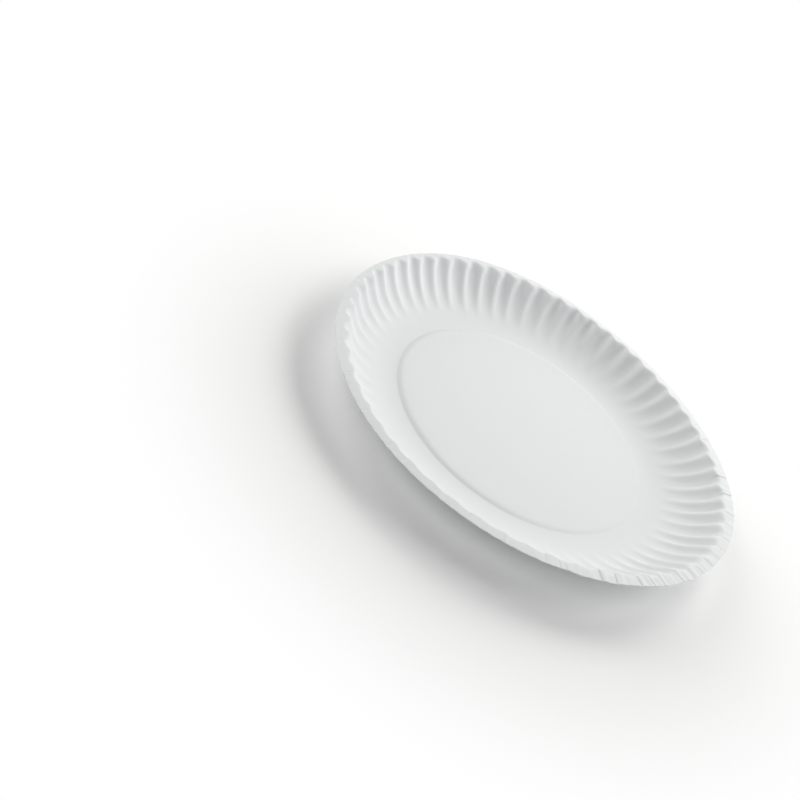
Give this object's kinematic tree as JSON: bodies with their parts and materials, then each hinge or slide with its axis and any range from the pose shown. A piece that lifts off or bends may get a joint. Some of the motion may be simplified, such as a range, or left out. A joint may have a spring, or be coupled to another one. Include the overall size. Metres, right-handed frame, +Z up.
{
  "type": "paper plate",
  "caption": "Round pressed paper plate with a slightly raised flat well, a narrow ring that it stands on, a smooth cove, a radially fluted wall and a narrow flat lip.",
  "frame": {"origin": "centre of the ring under the well's edge, on the surface that the plate stands on", "axes": "+Z up out of the plate's open face; +X and +Y lie in the plane of the standing ring, with a ridge of the fluting on +X"},
  "size_m": [0.229, 0.229, 0.0215],
  "materials": {
    "paperboard": "matte"
  },
  "bodies": {
    "root": {"plate": "paperboard"}
  },
  "joints": []
}
